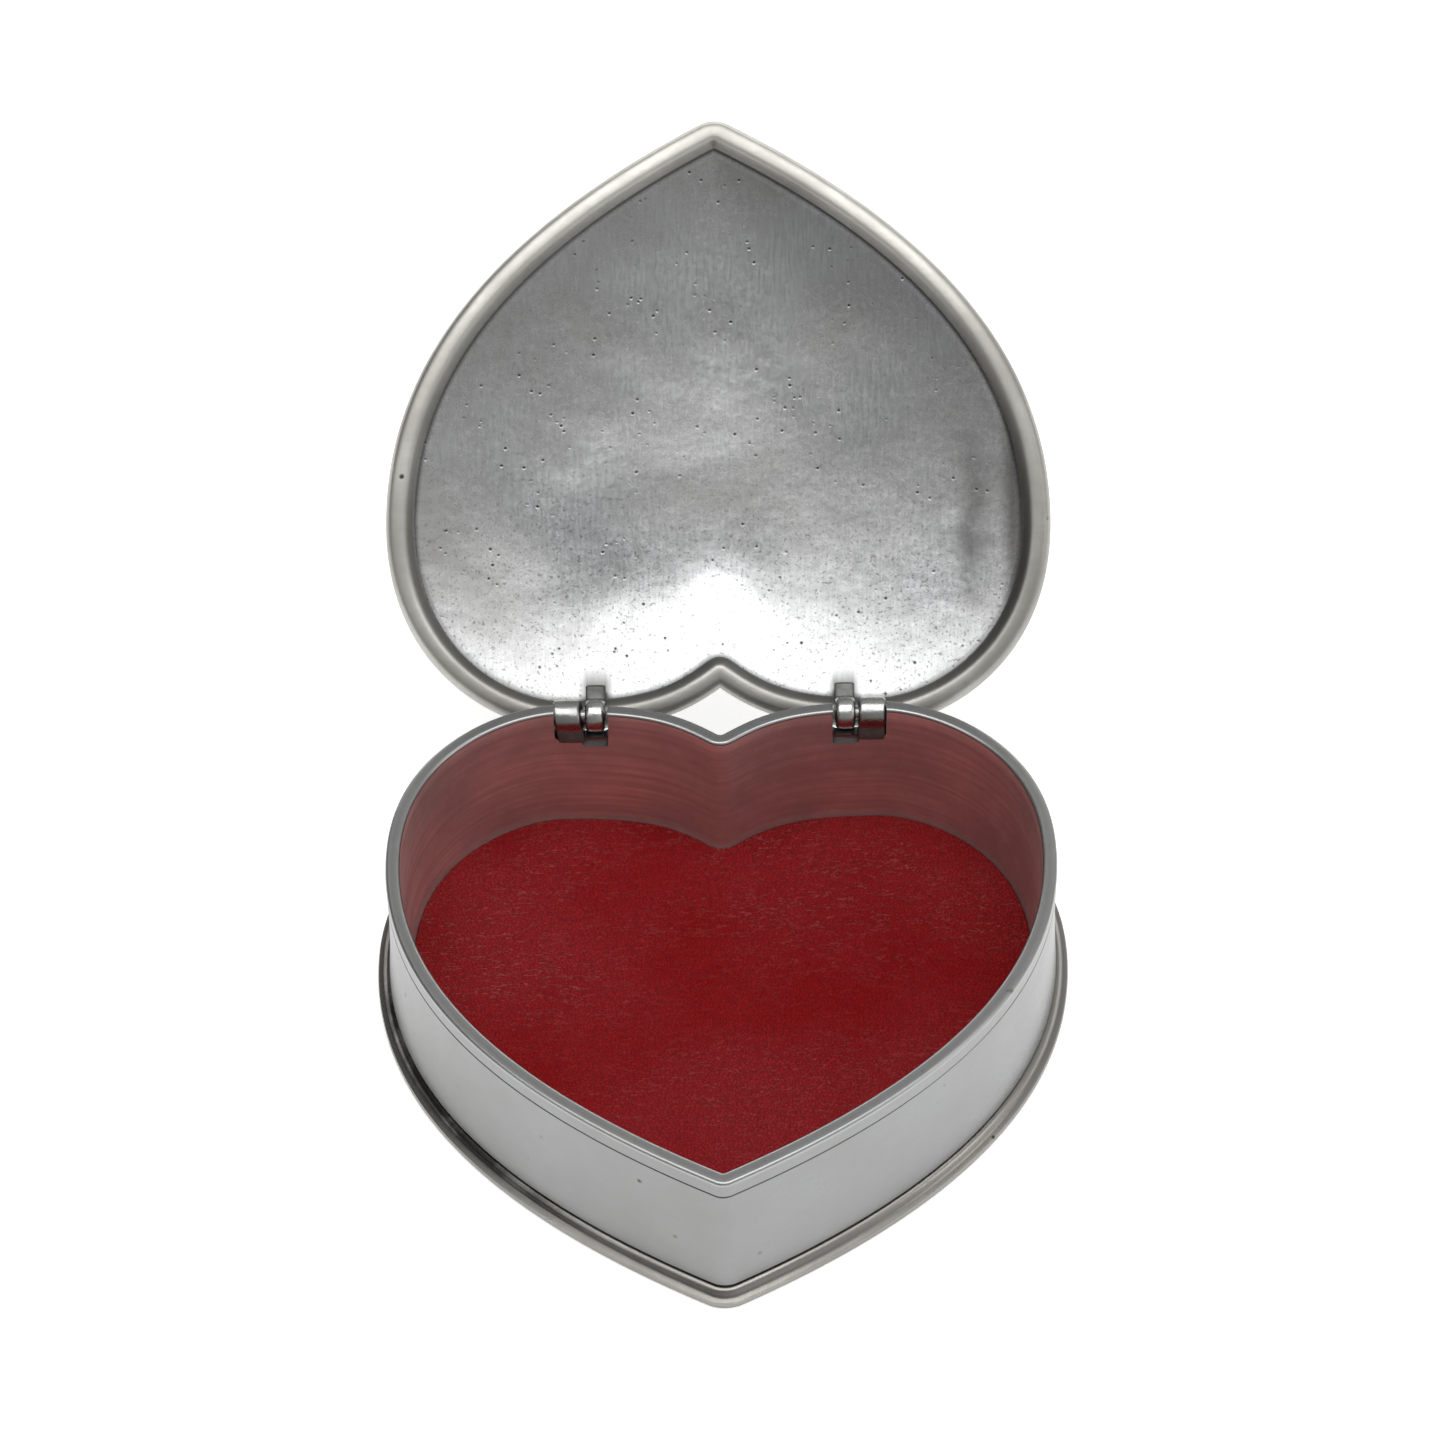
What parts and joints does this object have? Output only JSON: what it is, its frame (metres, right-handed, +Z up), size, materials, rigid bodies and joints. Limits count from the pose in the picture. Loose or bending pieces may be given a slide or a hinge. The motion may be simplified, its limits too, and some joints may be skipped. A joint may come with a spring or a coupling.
{
  "type": "keepsake box",
  "caption": "Heart-shaped cast pewter keepsake box with an open hinged lid, two small knuckle hinges at the back, and a leather-lined floor.",
  "frame": {"origin": "centre of the flat underside, on the table plane", "axes": "+Z up, -Y towards the pointed front of the heart, +X to the right seen from the front"},
  "size_m": [0.109, 0.1739, 0.0856],
  "materials": {
    "foot_pewter": "satin",
    "wall_pewter": "satin",
    "lid_pewter": "polished, with casting marks",
    "hinge_pewter": "polished",
    "pin_steel": "satin",
    "red_leather": "smooth, finely creased"
  },
  "bodies": {
    "box": {"base_plate": "foot_pewter", "side_wall": "wall_pewter", "floor_lining": "red_leather", "body_knuckle_left": "hinge_pewter", "body_knuckle_right": "hinge_pewter", "hinge_pin_left": "pin_steel", "hinge_pin_right": "pin_steel"},
    "lid": {"lid": "lid_pewter", "lid_knuckle_left": "hinge_pewter", "lid_knuckle_right": "hinge_pewter"}
  },
  "joints": [
    {"name": "lid_hinge", "type": "hinge", "parent": "box", "child": "lid", "pos_m": [0, 0.0474, 0.0231], "axis": [1, 0, 0], "range_deg": [0, 137]}
  ]
}
